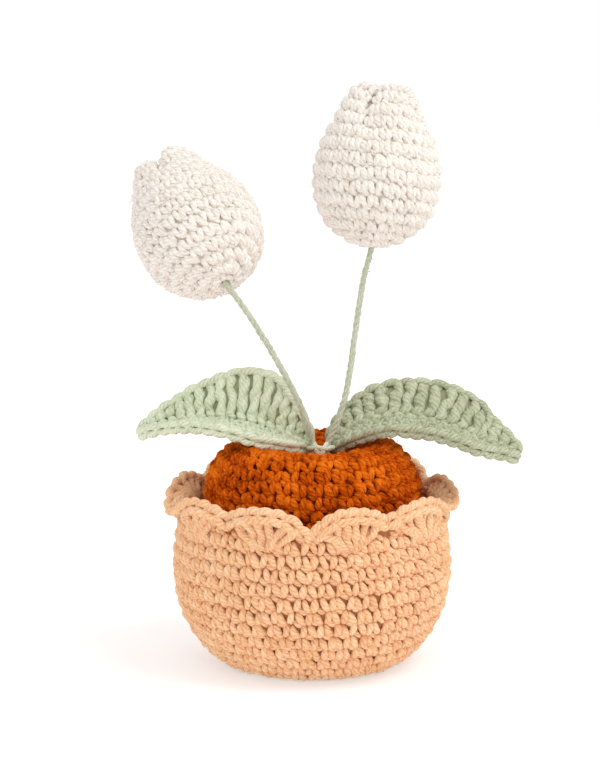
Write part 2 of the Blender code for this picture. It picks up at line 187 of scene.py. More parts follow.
def make_mesh(name, points, quads, tris, uv, look, nodes):
    """One object on the root body that stands for the given nodes."""
    press_z = 0.02  # soft yarn is pressed flat where it stands
    points[:, 2] = np.maximum(points[:, 2], press_z)
    mesh = bpy.data.meshes.new(name)
    corners = np.concatenate([quads.ravel(), tris.ravel()]).astype(np.int32)
    sizes = np.concatenate([np.full(len(quads), 4), np.full(len(tris), 3)]).astype(np.int32)
    starts = np.concatenate([[0], np.cumsum(sizes)[:-1]]).astype(np.int32)
    mesh.vertices.add(len(points))
    mesh.vertices.foreach_set("co", (points * MM).astype(np.float32).ravel())
    mesh.loops.add(len(corners))
    mesh.loops.foreach_set("vertex_index", corners)
    mesh.polygons.add(len(sizes))
    mesh.polygons.foreach_set("loop_start", starts)
    mesh.polygons.foreach_set("loop_total", sizes)
    if uv is not None:
        layer = mesh.uv_layers.new(name="strand")
        layer.data.foreach_set("uv", uv.astype(np.float32).ravel())
    mesh.update(calc_edges=True)
    mesh.validate()
    mesh.shade_smooth()
    mesh.materials.append(look)
    obj = bpy.data.objects.new(name, mesh)
    bpy.context.scene.collection.objects.link(obj)
    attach(obj, "root")
    for node in nodes:
        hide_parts(node)
    return obj


def ring_mesh(name, rings, look, slot, *nodes):
    """A closed body from rings of equal size; a ring of one point is a pole. Faces look outwards when the
    rings run counterclockwise seen from above and go up on the outside."""
    starts = np.cumsum([0] + [len(ring) for ring in rings])
    quads, tris = [], []
    for k in range(len(rings) - 1):
        a, b, count_a, count_b = starts[k], starts[k + 1], len(rings[k]), len(rings[k + 1])
        i = np.arange(max(count_a, count_b))
        j = (i + 1) % len(i)
        if count_a == 1:
            tris.append(np.stack([np.full(count_b, a), b + j, b + i], 1))
        elif count_b == 1:
            tris.append(np.stack([a + i, a + j, np.full(count_a, b)], 1))
        else:
            quads.append(np.stack([a + i, a + j, b + j, b + i], 1))
    points = np.concatenate(rings)
    return make_mesh(name, points, np.concatenate(quads), np.concatenate(tris), None, look, nodes)


def tube_grid(rings, sides):
    """Ring and side of each quad of a tube."""
    return (part.ravel() for part in np.meshgrid(np.arange(rings - 1), np.arange(sides), indexing="ij"))


def tube_faces(rings, sides):
    """Quads and tip triangles of a closed tube, whose two tips are its last two points."""
    a, b = tube_grid(rings, sides)
    after = (b + 1) % sides
    quads = np.stack([a * sides + b, a * sides + after, (a + 1) * sides + after, (a + 1) * sides + b], 1)
    s = np.arange(sides)
    s_after = (s + 1) % sides
    end, tip = (rings - 1) * sides, rings * sides
    first = np.stack([np.full(sides, tip), s_after, s], 1)
    last = np.stack([np.full(sides, tip + 1), end + s, end + s_after], 1)
    return quads, np.concatenate([first, last])


def tube_uv(length, sides, shift):
    """Strand coordinates of those faces: share of a turn plus a whole number of its own, and the length."""

    def corners(*pairs):
        return np.stack([np.stack(pair, 2) for pair in pairs], 2)

    a, b = tube_grid(length.shape[1], sides)
    u0, u1 = b / sides + shift, (b + 1) / sides + shift
    v0, v1 = length[:, a], length[:, a + 1]
    quads = corners((u0, v0), (u1, v0), (u1, v1), (u0, v1))
    s = np.arange(sides)
    u0, u1 = s / sides + shift, (s + 1) / sides + shift
    low, high = (np.broadcast_to(end, u0.shape) for end in (length[:, :1], length[:, -1:]))
    tips = [corners((u0, low), (u1, low), (u0, low)), corners((u0, high), (u0, high), (u1, high))]
    return quads.reshape(-1, 2), np.concatenate(tips, 1).reshape(-1, 2)


class Yarn:
    """Collects strands of yarn and makes one mesh of them."""

    def __init__(self):
        self.points, self.quads, self.tris, self.quad_uv, self.tri_uv = [], [], [], [], []
        self.count = 0

    def add(self, paths, radii, sides=7, ply=0.07):
        """Closed tubes along paths (n, m, 3), with radii for each point of a path. Ply is the height of the
        two twisted lobes of each."""
        paths = np.asarray(paths, float)
        n, m = paths.shape[:2]
        radii = np.broadcast_to(radii, (n, m))
        way = unit(np.gradient(paths, axis=1))
        side = unit(np.cross(way[:, 0], rng.normal(size=(n, 3))))
        turn = TAU * np.arange(sides) / sides
        cos, sin = np.cos(turn)[None, :, None], np.sin(turn)[None, :, None]
        pace = np.linalg.norm(np.diff(paths, axis=1), axis=2)
        length = np.concatenate([np.zeros((n, 1)), np.cumsum(pace, 1)], 1)
        rings = []
        for k in range(m):
            side = unit(side - way[:, k] * np.sum(side * way[:, k], 1, keepdims=True))
            other = np.cross(way[:, k], side)
            lobes = 1 + ply * np.cos(2 * turn[None] - TAU * length[:, k, None] / PLY_PITCH)
            reach = (radii[:, k, None] * lobes)[..., None]
            rings.append(paths[:, k, None] + reach * (cos * side[:, None] + sin * other[:, None]))
        first_tip = paths[:, 0] - way[:, 0] * radii[:, :1] * 0.5
        last_tip = paths[:, -1] + way[:, -1] * radii[:, -1:] * 0.5
        tips = np.stack([first_tip, last_tip], 1)
        self.points.append(np.concatenate([np.stack(rings, 1).reshape(n, -1, 3), tips], 1).reshape(-1, 3))

        quads, tris = tube_faces(m, sides)
        tube_points = m * sides + 2
        start = self.count + np.arange(n)[:, None, None] * tube_points
        self.quads.append((quads[None] + start).reshape(-1, 4))
        self.tris.append((tris[None] + start).reshape(-1, 3))
        quad_uv, tri_uv = tube_uv(length, sides, rng.integers(0, 60, (n, 1)))
        self.quad_uv.append(quad_uv)
        self.tri_uv.append(tri_uv)
        self.count += n * tube_points

    def fuzz(self, paths, radius, share, length):
        """Stray fibres: thin closed slivers that curl out of the strands, share of them for each strand."""
        paths = np.asarray(paths, float)
        n, m = paths.shape[:2]
        total = int(n * share)
        strand, knot = rng.integers(0, n, total), rng.integers(1, m - 1, total)
        way = unit(paths[strand, knot + 1] - paths[strand, knot - 1])
        out = unit(np.cross(way, rng.normal(size=(total, 3))))
        root = paths[strand, knot] + out * radius * 0.85
        reach = length * rng.uniform(0.4, 1.3, (total, 1))
        bend = unit(rng.normal(size=(total, 3))) * 0.5
        first = root + reach * 0.5 * unit(out + 0.5 * way * rng.choice([-1, 1], (total, 1)))
        second = first + reach * 0.5 * unit(out + way * rng.normal(size=(total, 1)) + bend)
        width = np.array([FIBRE_WIDTH, FIBRE_WIDTH, FIBRE_WIDTH * 0.4])
        self.add(np.stack([root, first, second], 1), width, sides=3, ply=0.0)

    def mesh(self, name, look, slot, *nodes):
        """All the strands as one object that stands for the given nodes."""
        points, quads, tris = (np.concatenate(part) for part in (self.points, self.quads, self.tris))
        uv = np.concatenate(self.quad_uv + self.tri_uv)
        return make_mesh(name, points, quads, tris, uv, look, nodes)


# Stitches


def crochet(yarn, surface, rounds, thick=1.0, wild=1.0, fuzz=0.25, fibre=1.0, keep=None, spiral=0.0,
            proud=0.0, sides=7, ply=0.1, high=math.inf):
    """Rounds of single crochet. Each round is (start s, height, stitch count, phase in radians).

    Wild is how uneven the stitches are, fuzz the number of stray fibres for each strand and fibre their
    length. Keep picks the stitches of a round that are made, spiral is the share of its height by which a
    round slopes, proud is added outwards, and high is the last s that a stitch may reach."""
    lowest_s = 0.3
    for start, height, count, phase in rounds:
        index = np.arange(count)
        if keep is not None:
            index = index[keep(start, phase + TAU * index / count)]
        if not len(index):
            continue
        each = (len(index), 1)
        for shape, radii, points in STITCH_PARTS:
            shape = catmull(shape, points)
            radii = catmull(np.array(radii)[:, None], points)[:, 0] * thick
            nudge = rng.normal(size=each) * NUDGE * wild
            shift = rng.normal(size=each) * SHIFT * wild
            out = proud + rng.normal(size=each) * JUT * wild
            angle = phase + TAU / count * (index[:, None] + shape[None, :, 0] + nudge)
            s = start + height * (shape[None, :, 1] + shift - spiral * (angle - phase) / TAU)
            waves = np.sin(2 * angle + s / 9) + 0.7 * np.sin(5 * angle - s / 6 + 1)
            s = np.clip(s + WANDER * wild * waves, lowest_s, high)
            paths = lift(surface, angle, s, shape[None, :, 2] * thick + out)
            size = radii[None] * rng.uniform(0.92, 1.08, each)
            yarn.add(paths, size, sides=sides, ply=ply)
            if fuzz:
                yarn.fuzz(paths, radius=thick, share=fuzz, length=fibre)


def rounds_of(arc, height, counts, first_phase):
    """Rounds that fill an arc, each started a share of a stitch further round than the one below it."""
    number = round(arc / height)
    height = arc / number
    made, phase = [], first_phase
    for k in range(number):
        count = counts((k + 0.5) * height)
        made.append((k * height, height, count, phase))
        phase += LEAN * TAU / count
    return made


def chain(yarn, edge, count, width, radius):
    """A crochet chain: pairs of loops along an edge. Edge(x) gives (point, across, up) for x in stitches.
    Each loop dips in at both ends, and its middle lies out to one side."""
    steps = np.array([-0.1, 0.15, 0.55, 0.95, 1.2])
    spread = np.array([-0.1, 0.55, 1.05, 0.85, 0.1]) * width
    over = np.array([-0.6, 0.1, 0.25, -0.05, -0.9]) * radius
    reach = catmull((np.array([0.62, 0.98, 1.08, 0.98, 0.6]) * radius)[:, None], 9)[:, 0]
    for way in (-1, 1):
        jitter = rng.normal(size=(count, 1)) * 0.05
        point, across, up = edge(np.arange(count)[:, None] + steps[None] + jitter)
        control = point + across * (way * spread)[None, :, None] + up * over[None, :, None]
        paths = catmull(control, 9)
        yarn.add(paths, reach[None] * rng.uniform(0.93, 1.07, (count, 1)))
        yarn.fuzz(paths, radius, share=0.5, length=0.9)


# Materials

PLIES, TWIST = 4.0, 0.21  # plies round a strand, and turns of them for each millimetre
FIBRE_LINES, FIBRE_PACE = 26.0, 0.9  # fine fibres round a strand, and how fast they change along it
GRAIN_SCALE = 1900.0  # for each metre, as the clouds' scale
PLY_RELIEF, FIBRE_RELIEF, GRAIN_RELIEF = 0.65, 0.5, 0.9
# colour weights: the ply term darkens the grooves between the plies, which is painted shade; the fibre, grain
# and strand terms are the yarn's own uneven tone
PLY_GROOVE_SHADE, FIBRE_TONE, GRAIN_TONE, STRAND_TONE, TONE_DROP = 0.25, 0.55, 0.5, 0.16, 0.18
DARK_STOP, MID_STOP, LIGHT_STOP = 0.25, 0.55, 0.85
RELIEF_STRENGTH = 0.6


def yarn_look(name, dark, mid, light, sheen=0.15, fibre=1.0, cloud=0.4, cloud_scale=160.0, gloss=0.15):
    """Plied yarn: twisted plies and fine fibres along the strand, with the colour a little uneven and painted
    shade in the grooves between the plies.
    """
    look = bpy.data.materials.new(name)
    look.use_nodes = True
    tree = look.node_tree
    shader = tree.nodes["Principled BSDF"]

    def noise(scale, detail, vector):
        made = tree.nodes.new("ShaderNodeTexNoise")
        made.inputs["Scale"].default_value = scale
        made.inputs["Detail"].default_value = detail
        tree.links.new(vector, made.inputs["Vector"])
        return made.outputs["Fac"]

    def maths(operation, a, b=None):
        made = tree.nodes.new("ShaderNodeMath")
        made.operation = operation
        for i, value in enumerate((a, b)):
            if value is None:
                continue
            if isinstance(value, (int, float)):
                made.inputs[i].default_value = value
            else:
                tree.links.new(value, made.inputs[i])
        return made.outputs[0]

    def total(*terms):
        """Sum of (value, weight) pairs."""
        result = None
        for value, weight in terms:
            term = maths("MULTIPLY", value, weight)
            result = term if result is None else maths("ADD", result, term)
        return result

    uv = tree.nodes.new("ShaderNodeUVMap")
    uv.uv_map = "strand"
    apart = tree.nodes.new("ShaderNodeSeparateXYZ")
    tree.links.new(uv.outputs[0], apart.inputs[0])
    around, along = apart.outputs[0], apart.outputs[1]
    phase = total((around, PLIES * TAU), (along, TWIST * PLIES * TAU))
    ply = maths("POWER", maths("ABSOLUTE", maths("SINE", maths("MULTIPLY", phase, 0.5))), 0.6)

    stretched = tree.nodes.new("ShaderNodeCombineXYZ")
    slant = maths("ADD", around, maths("MULTIPLY", along, TWIST))
    tree.links.new(maths("MULTIPLY", slant, FIBRE_LINES), stretched.inputs[0])
    tree.links.new(maths("MULTIPLY", along, FIBRE_PACE), stretched.inputs[1])
    fibres = noise(1.0, 2.0, stretched.outputs[0])

    place = tree.nodes.new("ShaderNodeTexCoord").outputs["Object"]
    clouds = noise(cloud_scale, 3.0, place)
    grain = noise(GRAIN_SCALE, 2.0, place)
    strand = tree.nodes.new("ShaderNodeTexWhiteNoise")  # one tone for each strand
    strand.noise_dimensions = "1D"
    tree.links.new(maths("FLOOR", around), strand.inputs["W"])

    raised = tree.nodes.new("ShaderNodeBump")
    raised.inputs["Strength"].default_value = RELIEF_STRENGTH
    raised.inputs["Distance"].default_value = 0.0005
    height = total((ply, PLY_RELIEF), (fibres, FIBRE_RELIEF * fibre), (grain, GRAIN_RELIEF))
    tree.links.new(height, raised.inputs["Height"])
    tree.links.new(raised.outputs[0], shader.inputs["Normal"])

    # painted shade: the ply term makes the colour darker in the grooves between the plies
    tone = total((ply, PLY_GROOVE_SHADE), (fibres, FIBRE_TONE), (maths("SUBTRACT", clouds, 0.5), cloud),
                 (grain, GRAIN_TONE), (strand.outputs["Value"], STRAND_TONE))
    ramp = tree.nodes.new("ShaderNodeValToRGB")
    ramp.color_ramp.elements[0].position, ramp.color_ramp.elements[1].position = DARK_STOP, LIGHT_STOP
    ramp.color_ramp.elements[0].color, ramp.color_ramp.elements[1].color = (*dark, 1), (*light, 1)
    ramp.color_ramp.elements.new(MID_STOP).color = (*mid, 1)
    tree.links.new(maths("SUBTRACT", tone, TONE_DROP), ramp.inputs[0])
    tree.links.new(ramp.outputs[0], shader.inputs["Base Color"])
    shader.inputs["Roughness"].default_value = 0.85
    shader.inputs["Sheen Weight"].default_value = sheen
    shader.inputs["Sheen Roughness"].default_value = 0.5
    shader.inputs["Specular IOR Level"].default_value = gloss
    return look


def plain_look(name, dark, light, scale=900.0, rough=0.9, metallic=0.0, stretch=(1, 1, 1)):
    """Woolly or brushed matter with a fine uneven grain."""
    look = bpy.data.materials.new(name)
    look.use_nodes = True
    tree = look.node_tree
    shader = tree.nodes["Principled BSDF"]
    place, bent = tree.nodes.new("ShaderNodeTexCoord"), tree.nodes.new("ShaderNodeMapping")
    bent.inputs["Scale"].default_value = stretch
    grain = tree.nodes.new("ShaderNodeTexNoise")
    grain.inputs["Scale"].default_value = scale
    grain.inputs["Detail"].default_value = 4.0
    ramp = tree.nodes.new("ShaderNodeValToRGB")
    ramp.color_ramp.elements[0].color, ramp.color_ramp.elements[1].color = (*dark, 1), (*light, 1)
    ramp.color_ramp.elements[0].position, ramp.color_ramp.elements[1].position = 0.3, 0.7
    raised = tree.nodes.new("ShaderNodeBump")
    raised.inputs["Strength"].default_value = RELIEF_STRENGTH
    raised.inputs["Distance"].default_value = 0.0004
    tree.links.new(place.outputs["Object"], bent.inputs[0])
    tree.links.new(bent.outputs[0], grain.inputs["Vector"])
    tree.links.new(grain.outputs["Fac"], ramp.inputs[0])
    tree.links.new(grain.outputs["Fac"], raised.inputs["Height"])
    tree.links.new(ramp.outputs[0], shader.inputs["Base Color"])
    tree.links.new(raised.outputs[0], shader.inputs["Normal"])
    shader.inputs["Roughness"].default_value = rough
    shader.inputs["Metallic"].default_value = metallic
    return look


PEACH = yarn_look("peach_yarn", (0.70, 0.32, 0.14), (0.95, 0.54, 0.285), (1.0, 0.72, 0.46))
# the pot's body under the stitches is darker than the peach yarn: painted shade in the gaps between the
# stitches and on the inner wall
PEACH_SHADE_BACKING = plain_look("peach_painted_shade_backing", (0.42, 0.17, 0.07), (0.54, 0.23, 0.10))
RUST = yarn_look("rust_yarn", (0.24, 0.027, 0.001), (0.61, 0.095, 0.003), (0.86, 0.20, 0.011),
                 fibre=2.0, sheen=0.0, cloud=1.3, cloud_scale=120.0, gloss=0.02)
# the soil's body under the stitches is darker than the rust yarn: painted shade in the gaps between the
# stitches
RUST_SHADE_BACKING = plain_look("rust_painted_shade_backing", (0.26, 0.035, 0.002), (0.40, 0.06, 0.003))
SAGE = yarn_look("sage_yarn", (0.28, 0.31, 0.18), (0.47, 0.50, 0.33), (0.64, 0.67, 0.49))
SAGE_LIGHT = yarn_look("light_sage_yarn", (0.50, 0.55, 0.37), (0.74, 0.79, 0.58), (0.86, 0.90, 0.72))
PALE_SAGE = yarn_look("pale_sage_yarn", (0.47, 0.50, 0.36), (0.58, 0.61, 0.45), (0.70, 0.73, 0.58))
# the leaves' body under the stitches is darker than the sage yarn: painted shade in the gaps between the
# stitches
SAGE_SHADE_BACKING = plain_look("sage_painted_shade_backing", (0.24, 0.26, 0.15), (0.34, 0.36, 0.22))
CREAM = yarn_look("cream_yarn", (0.76, 0.69, 0.61), (0.915, 0.845, 0.77), (0.99, 0.945, 0.89), sheen=0.1)
# the heads' body under the stitches is darker than the cream yarn: painted shade in the gaps between the
# stitches
CREAM_SHADE_BACKING = plain_look("cream_painted_shade_backing", (0.52, 0.45, 0.38), (0.64, 0.57, 0.49))
STUFFING = plain_look("stuffing", (0.70, 0.69, 0.66), (0.88, 0.87, 0.85), scale=500.0)
STEEL = plain_look("steel", (0.42, 0.42, 0.43), (0.62, 0.62, 0.63), rough=0.35, metallic=1.0,
                   stretch=(1, 1, 0.05))


# Pot


def pot_profile():
    """(radius, height) from the edge of the flat base, round the belly and up to the last plain round."""
    turn = np.linspace(0, math.pi / 2, 40)
    radius = POT_BASE_R + (POT_R - POT_BASE_R) * np.sin(turn) ** 1.18
    height = POT_ROUND_Z * (1 - np.cos(turn) ** 0.95)
    rise = np.linspace(0.25, 1, 8)
    radius = np.concatenate([radius, POT_R - (POT_R - POT_RIM_R) * rise**1.6])
    height = np.concatenate([height, POT_ROUND_Z + (POT_RIM_Z - POT_ROUND_Z) * rise])
    return np.stack([radius, height], 1)


def shell_wave(angle):
    """0 in the valleys between the shells and 1 at their crests."""
    turn = (np.degrees(angle) - SHELL_VALLEYS[0]) % 360
    marks = SHELL_VALLEYS - SHELL_VALLEYS[0]
    shell = np.clip(np.searchsorted(marks, turn, side="right") - 1, 0, len(marks) - 2)
    share = (turn - marks[shell]) / (marks[shell + 1] - marks[shell])
    return np.sin(math.pi * share) ** 0.6


def degrees_from(angle, spot):
    return (np.degrees(angle) - spot + 180) % 360 - 180


def shell_edge(angle):
    """(rise, flare, hump) of the edge: its height and reach, and how high the shell arches on the way."""
    wave = shell_wave(angle)
    notch = np.exp(-((degrees_from(angle, FRONT_VALLEY) / DIP_SPREAD) ** 2))
    rise = VALLEY_RISE + (CREST_RISE - VALLEY_RISE) * wave - FRONT_DIP * notch
    flare = VALLEY_FLARE + (CREST_FLARE - VALLEY_FLARE) * wave
    behind = np.sin(angle)
    rise = rise + BACK_RISE * np.maximum(behind, 0) * (0.5 + 0.5 * wave)
    rise = rise - FRONT_FALL * np.maximum(-behind, 0) * wave
    hump = 0.5 * rise
    for spot, depth in SAG_SPOTS:
        sag = depth * np.exp(-((degrees_from(angle, spot) / SAG_SPREAD) ** 2)) * wave
        rise, flare, hump = rise - sag, flare + 0.26 * sag, hump + 0.15 * sag
    return rise, flare, hump


def rim_surface(angle, share):
    """The middle of the shells' thickness. Share is 0 at their foot and 1 at the scalloped edge."""
    inset, foot_depth = 1.1, 7.0
    rise, flare, hump = shell_edge(angle)
    up = np.maximum(share, 0)
    height = POT_RIM_Z + 2 * up * (1 - up) * hump + up**2 * rise + foot_depth * np.minimum(share, 0)
    radius = POT_RIM_R - inset + flare * up**1.4
    radius, height = np.broadcast_arrays(radius, height)
    angle = np.broadcast_to(angle, radius.shape)
    return np.stack([radius * np.cos(angle), radius * np.sin(angle), height], -1)


def add_shell(rim, low, high):
    """One shell: posts that fan out from one foot, outside and inside, and a chain along their heads."""
    foot_share = -0.5
    strand_off, edge_r = 0.56, 36.0  # the two strands of a post lie this far from its middle
    narrow, few, many = 39.5, 6, 7
    posts = few if high - low < narrow else many
    start, middle, span = math.radians(low), math.radians((low + high) / 2), math.radians(high - low)
    share = (np.arange(posts) + 0.5) / posts
    foot = middle + (share - 0.5) * span * 0.2
    head = start + span * (0.03 + 0.94 * share)
    steps = np.linspace(0, 1, 9)
    angle = foot[:, None] + (head - foot)[:, None] * steps**0.85
    height = np.broadcast_to(foot_share + (EDGE_SHARE - foot_share) * steps, angle.shape)
    bulge = np.interp(steps, (0, 0.15, 0.5, 1), (1.4, 2.1, 2.0, 0.6))
    size = 1.12 - 0.35 * (1 - steps) ** 2  # thinner at the foot
    for strand in (0, 1):
        twist = TAU * (0.9 * steps[None] + rng.uniform(0, 1, (posts, 1))) + math.pi * strand
        paths = lift(rim_surface, angle + strand_off * np.cos(twist) / edge_r, height,
                     bulge[None] + strand_off * np.sin(twist))
        rim.add(paths, size[None] * rng.uniform(0.95, 1.05, (posts, 1)))
        rim.fuzz(paths, radius=0.95, share=0.6, length=0.9)
    inside = rim_surface(angle, EDGE_SHARE * np.broadcast_to(steps, angle.shape))
    depth = 0.9 * np.sin(math.pi * np.clip(steps + 0.2, 0, 1))
    inside_r = 1.2
    rim.add(inside - depth[:, None] * unit(inside * [1, 1, 0]), inside_r, ply=0.16)
    loops = posts + 1

    def edge(x):
        angle = start + span * x / loops
        share = np.full(angle.shape, EDGE_SHARE)
        point = rim_surface(angle, share)
        out = lift(rim_surface, angle, share, np.ones(angle.shape)) - point
        along = unit(rim_surface(angle + 0.01, share) - point)
        up = unit(np.cross(out, along))
        across = unit(0.8 * out - 0.6 * up)
        return point + 0.2 * out, across, unit(np.cross(across, along))

    chain(rim, edge, loops, width=1.2, radius=1.12)


def build_pot():
    surface, at, arc = lathe(pot_profile())
    top_up, stitch_width = 2.5, 4.0  # the wall's last round ends inside the shells' feet

    def count(s):
        return int(min(POT_STITCHES, round(TAU * at(s)[0] / stitch_width)))

    def under_edge(start, angle):
        """Which stitches of a round end below the scalloped edge."""
        least_rise, clear = 2.6, 0.6
        return at(start)[1] + ROUND_H < POT_RIM_Z + np.maximum(shell_edge(angle)[0], least_rise) - clear

    rounds = rounds_of(arc + top_up, ROUND_H, count, 0.3)
    parts = (("pot_wall_low", rounds[:WALL_PIECE_ROUNDS]), ("pot_wall_high", rounds[WALL_PIECE_ROUNDS:]))
    for name, part in parts:
        wall = Yarn()
        crochet(wall, surface, part, wild=1.15, fuzz=0.6, keep=under_edge, proud=WALL_PROUD, sides=8,
                ply=0.13)
        wall.mesh(name, PEACH, "peach_yarn", "pot")

    base = Yarn()  # its stitches point down, and what would be under the floor is pressed flat
    flat, _, flat_arc = lathe([(0.4, 1.75), (7, 1.75), (13, 1.72), (POT_BASE_R, 1.3)])
    disc = rounds_of(flat_arc, ROUND_H, lambda s: 6 * int(1 + s // ROUND_H), 0.0)
    crochet(base, flat, disc, fuzz=0, wild=0.6)
    base.mesh("pot_base", PEACH, "peach_yarn", "pot")

    rim = Yarn()
    for low, high in zip(SHELL_VALLEYS[:-1], SHELL_VALLEYS[1:]):
        add_shell(rim, low, high)
    rim.mesh("pot_rim", PEACH, "peach_yarn", "pot")

    columns, under_z, inside_z = 180, 2.6, 3.2
    wall_out, wall_in, shell_out, shell_in = -0.75, -2.6, 0.5, -0.3
    angle = TAU * np.arange(columns) / columns
    shares = (0.2, 0.45, 0.7, EDGE_SHARE)
    rings = [np.array([[0, 0, under_z]])]
    rings += [ring_at(surface, angle, s, wall_out) for s in np.linspace(0, arc, 30)]
    rings += [ring_at(rim_surface, angle, share, shell_out) for share in shares]
    rings += [ring_at(rim_surface, angle, share, shell_in) for share in shares[::-1]]
    rings += [ring_at(surface, angle, s, wall_in) for s in np.linspace(arc, 3.0, 26)]
    rings.append(np.array([[0, 0, inside_z]]))
    # this body's darker colour is painted shade between the stitches and inside the pot
    ring_mesh("pot_backing", rings, PEACH_SHADE_BACKING, "peach_yarn", "pot")


# Soil


def build_soil():
    turned_surface, at, arc = lathe(SOIL_PROFILE[::-1])

    def surface(angle, s):
        """The cushion, with the middle of its top moved over to the hole for the stems."""
        points = turned_surface(angle, s)
        reach = np.linalg.norm(points[..., :2], axis=-1)
        share = np.clip(1 - (reach / HOLE_REACH) ** 2, 0, 1)
        return points + share[..., None] * np.array([HOLE_X, HOLE_Y, 0])

    def count(s):
        stitch_width, fewest = 4.3, 7
        return int(np.clip(round(TAU * at(s)[0] / stitch_width), fewest, SOIL_STITCHES))

    yarn = Yarn()
    round_height = 3.6
    rounds = rounds_of(arc, round_height, count, 0.1)
    crochet(yarn, surface, rounds, thick=1.02, wild=1.7, fuzz=2.0, fibre=2.0, proud=0.4, ply=0.14)
    ledge, _, ledge_arc = lathe(LEDGE_PROFILE)
    ledge_stitches = 52
    crochet(yarn, ledge, [(0.0, ledge_arc, ledge_stitches, 0.0)], wild=1.5, fuzz=1.0, fibre=1.5)
    yarn.mesh("soil_stitches", RUST, "rust_yarn", "soil")

    columns, under_z, well_z, depth = 120, 37.2, 53.5, 1.7
    angle = TAU * np.arange(columns) / columns
    rings = [np.array([[0, 0, under_z]])]
    for z in LEDGE_HEIGHTS:
        rings.append(np.stack([LEDGE_R * np.cos(angle), LEDGE_R * np.sin(angle), np.full(columns, z)], 1))
    rings += [ring_at(surface, angle, s, -depth) for s in np.linspace(0, arc, 24)]
    rings.append(surface(angle, np.full(columns, arc)) * [1, 1, 0] + [0, 0, well_z])
    rings.append(np.array([[HOLE_X, HOLE_Y, well_z - 1]]))
    # this body's darker colour is painted shade between the soil's stitches
    ring_mesh("soil_backing", rings, RUST_SHADE_BACKING, "rust_yarn", "soil")


# Tulip heads


def build_bloom(side, pole, axis, spin):
    """A head from the place of its pole, the way that it points and its turn about that."""
    axis = np.asarray(axis, float) / np.linalg.norm(axis)
    front = np.array([0, -1.0, 0])
    front = unit(front - axis * (front @ axis))
    other = np.cross(axis, front)
    cos, sin = math.cos(spin), math.sin(spin)
    place = np.stack([cos * front + sin * other, cos * other - sin * front, axis])
    _, at, arc = lathe(BLOOM_PROFILE)

    def put(points):
        return points @ place + np.asarray(pole)

    def surface(angle, s):
        radius, height = at(s)
        valley = (1 - np.abs(np.cos(PETALS / 2 * angle))) ** 1.3
        rise = np.clip((height - PETAL_START_H) / (PETAL_TOP_H - PETAL_START_H), 0, 1) ** 2
        fade = np.clip(radius / 5, 0, 1)
        radius = radius * (1 - PETAL_PINCH * rise * valley)
        height = height - PETAL_DROP * fade * rise * valley
        return put(np.stack([radius * np.cos(angle), radius * np.sin(angle), height], -1))

    def count(s):
        stitch_width, fewest = 3.6 if s < arc / 2 else 3.1, 5
        return int(np.clip(round(TAU * at(s)[0] / stitch_width), fewest, BLOOM_STITCHES))

    yarn = Yarn()
    round_height = 3.8
    first_s, last_s = 0.9, arc - 0.8  # clear of the two poles
    rounds = [(start + first_s, *rest) for start, *rest in rounds_of(arc, round_height, count, 0.2)]
    crochet(yarn, surface, rounds, thick=0.96, fuzz=0.8, fibre=1.1, spiral=0.9, ply=0.13, high=last_s)
    turn = np.linspace(0, 1.06 * TAU, 26)
    collar_r, collar_thick = 1.75, 0.85  # a ring of yarn round the stem
    collar = put(np.stack([collar_r * np.cos(turn), collar_r * np.sin(turn), 0.7 + 0.12 * turn], 1))
    yarn.add(collar[None], collar_thick, ply=0.13)
    piece = yarn.mesh(f"bloom_{side}_stitches", CREAM, "cream_yarn", f"bloom_{side}")

    columns, low_z, high_z, depth = 96, 2.2, 40.2, 1.0
    angle = TAU * np.arange(columns) / columns
    rings = [put(np.array([[0, 0, low_z]]))]
    rings += [ring_at(surface, angle, s, -depth) for s in np.linspace(0.8, arc - 3.6, 26)]
    rings.append(put(np.array([[0, 0, high_z]])))
    # this body's darker colour is painted shade between the head's stitches
    ring_mesh(f"bloom_{side}_backing", rings, CREAM_SHADE_BACKING, "cream_yarn", f"bloom_{side}")


# Leaves


def leaf_surface(fold, back, near_angle, far_angle, widths):
    """(at, middle, length) of a leaf folded along a curve from its base to its tip. Its halves are -1, the
    near one, and 1, the far one, and each turns from its first angle at the base to its second at the tip."""
    t = np.linspace(0, 1, LEAF_STEPS)
    middle = evenly(fold, LEAF_STEPS)
    middle[:, 2] -= FOLD_SINK * np.sin(math.pi * t) ** 0.7
    shape = evenly(np.stack([np.linspace(0, 1, len(widths)), widths], 1), 80)
    half = LEAF_HALF_WIDTH * np.interp(t, shape[:, 0], shape[:, 1])
    way = unit(np.gradient(middle, axis=0))
    back = np.asarray(back, float)
    level = unit(back - way * (way @ back)[:, None])
    up = np.cross(way, level)
    up *= np.sign(up[:, 2:3])
    arms, normals = {}, {}
    for which, (base, tip) in ((-1, near_angle), (1, far_angle)):
        angle = np.radians(base + (tip - base) * t)[:, None]
        arm = np.cos(angle) * level * which + np.sin(angle) * up * which
        facing = np.cross(way, arm)
        facing *= np.sign(np.sum(facing * (up - 0.6 * level), 1, keepdims=True))
        arms[which], normals[which] = arm, facing

    def pick(table, x):
        return np.stack([np.interp(x, t, column) for column in table.T], -1)

    def at(which, x, w, n):
        """Point of a half: x from base to tip, w from fold to edge, n millimetres towards the face."""
        x, w, n = np.broadcast_arrays(x, w, n)
        reach = np.interp(x, t, half) * w * (FAR_HALF if which > 0 else 1.0)
        arm, facing = pick(arms[which], x), unit(pick(normals[which], x))
        return pick(middle, x) + reach[..., None] * arm + n[..., None] * facing

    return at, middle, path_length(middle)


